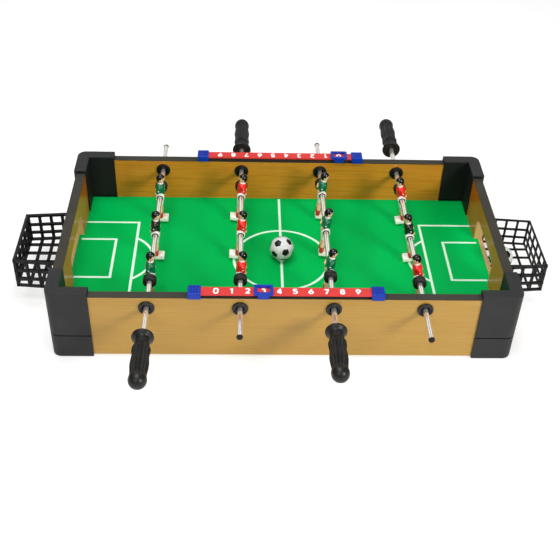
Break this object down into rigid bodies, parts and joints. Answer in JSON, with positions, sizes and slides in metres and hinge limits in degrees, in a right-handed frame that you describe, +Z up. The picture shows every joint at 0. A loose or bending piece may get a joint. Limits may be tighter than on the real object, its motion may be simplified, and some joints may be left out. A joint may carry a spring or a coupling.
{
  "type": "tabletop foosball table",
  "caption": "Tabletop foosball game: wood-look box with a green pitch, sliding and turning rods with figures, side score counters and a ball catcher at each goal.",
  "frame": {"origin": "bottom centre of the overall box, on the surface the corner feet stand on", "axes": "+X along the length towards the right-hand goal, +Y across the width along the rods, away from the near side, +Z up"},
  "size_m": [0.616, 0.508, 0.0988],
  "materials": {
    "wood_panel": "satin laminate, oak print",
    "edge_band": "matte dark grey",
    "pitch_green": "printed hardboard, satin",
    "corner_plastic": "textured charcoal",
    "black_plastic": "satin black",
    "handle_plastic": "gloss black",
    "bumper_rubber": "matte black",
    "rod_steel": "bright plated",
    "screw_steel": "zinc plated",
    "figure_green": "painted, green shirt",
    "figure_red": "painted, red shirt",
    "figure_black": "painted, black shirt",
    "counter_red": "moulded red",
    "counter_blue": "moulded blue",
    "ball_white": "white with black patches"
  },
  "bodies": {
    "cabinet": {"wall_near": "wood_panel", "wall_far": "wood_panel", "wall_left": "wood_panel", "wall_right": "wood_panel", "wall_top_bands": "edge_band", "pitch_board": "pitch_green", "cap_near_left": "corner_plastic", "foot_near_left": "corner_plastic", "cap_near_right": "corner_plastic", "foot_near_right": "corner_plastic", "cap_far_left": "corner_plastic", "foot_far_left": "corner_plastic", "cap_far_right": "corner_plastic", "foot_far_right": "corner_plastic", "rod_bushings": "black_plastic", "bushing_rings": "black_plastic", "basket_left": "black_plastic", "basket_right": "black_plastic", "wood_screws": "screw_steel", "score_rail_near": "counter_red", "rail_brackets_near": "counter_blue", "score_rail_far": "counter_red", "rail_brackets_far": "counter_blue"},
    "rod_1_bumpers": {"bumpers_1": "bumper_rubber"},
    "rod_1_assembly": {"rod_1": "rod_steel", "handle_1": "handle_plastic", "end_plug_1": "black_plastic", "player_1_near": "figure_green", "player_1_mid": "figure_black", "player_1_far": "figure_green", "player_pins_1": "screw_steel"},
    "rod_2_bumpers": {"bumpers_2": "bumper_rubber"},
    "rod_2_assembly": {"rod_2": "rod_steel", "handle_2": "handle_plastic", "end_plug_2": "black_plastic", "player_2_near": "figure_red", "player_2_mid": "figure_red", "player_2_far": "figure_red", "player_pins_2": "screw_steel"},
    "rod_3_bumpers": {"bumpers_3": "bumper_rubber"},
    "rod_3_assembly": {"rod_3": "rod_steel", "handle_3": "handle_plastic", "end_plug_3": "black_plastic", "player_3_near": "figure_green", "player_3_mid": "figure_green", "player_3_far": "figure_green", "player_pins_3": "screw_steel"},
    "rod_4_bumpers": {"bumpers_4": "bumper_rubber"},
    "rod_4_assembly": {"rod_4": "rod_steel", "handle_4": "handle_plastic", "end_plug_4": "black_plastic", "player_4_near": "figure_red", "player_4_mid": "figure_black", "player_4_far": "figure_red", "player_pins_4": "screw_steel"},
    "score_slider_near": {"score_slider_near": "counter_blue"},
    "score_slider_far": {"score_slider_far": "counter_blue"},
    "ball_on_pitch": {"ball_pitch": "ball_white"},
    "ball_in_basket": {"ball_spare": "ball_white"}
  },
  "joints": [
    {"name": "rod_1_slide", "type": "slide", "parent": "cabinet", "child": "rod_1_bumpers", "axis": [0, 1, 0], "range_m": [-0.0282, 0.0308]},
    {"name": "rod_1_spin", "type": "hinge", "parent": "rod_1_bumpers", "child": "rod_1_assembly", "pos_m": [-0.1483, -0.0013, 0.0714], "axis": [0, 1, 0], "continuous": true},
    {"name": "rod_2_slide", "type": "slide", "parent": "cabinet", "child": "rod_2_bumpers", "axis": [0, 1, 0], "range_m": [-0.0308, 0.0282]},
    {"name": "rod_2_spin", "type": "hinge", "parent": "rod_2_bumpers", "child": "rod_2_assembly", "pos_m": [-0.049, 0.0013, 0.0714], "axis": [0, 1, 0], "continuous": true},
    {"name": "rod_3_slide", "type": "slide", "parent": "cabinet", "child": "rod_3_bumpers", "axis": [0, 1, 0], "range_m": [-0.0374, 0.0216]},
    {"name": "rod_3_spin", "type": "hinge", "parent": "rod_3_bumpers", "child": "rod_3_assembly", "pos_m": [0.0512, 0.0079, 0.0714], "axis": [0, 1, 0], "continuous": true},
    {"name": "rod_4_slide", "type": "slide", "parent": "cabinet", "child": "rod_4_bumpers", "axis": [0, 1, 0], "range_m": [-0.0284, 0.0306]},
    {"name": "rod_4_spin", "type": "hinge", "parent": "rod_4_bumpers", "child": "rod_4_assembly", "pos_m": [0.1496, -0.0011, 0.0714], "axis": [0, 1, 0], "continuous": true},
    {"name": "near_counter_slide", "type": "slide", "parent": "cabinet", "child": "score_slider_near", "axis": [1, 0, 0], "range_m": [-0.0552, 0.1039]},
    {"name": "far_counter_slide", "type": "slide", "parent": "cabinet", "child": "score_slider_far", "axis": [1, 0, 0], "range_m": [-0.15415, 0.00495]},
    {"name": "pitch_ball_lift", "type": "slide", "parent": "cabinet", "child": "ball_on_pitch", "axis": [0, 0, 1], "range_m": [0, 0.12]},
    {"name": "basket_ball_lift", "type": "slide", "parent": "cabinet", "child": "ball_in_basket", "axis": [0.4104, 0, 0.9119], "range_m": [0, 0.12]}
  ]
}
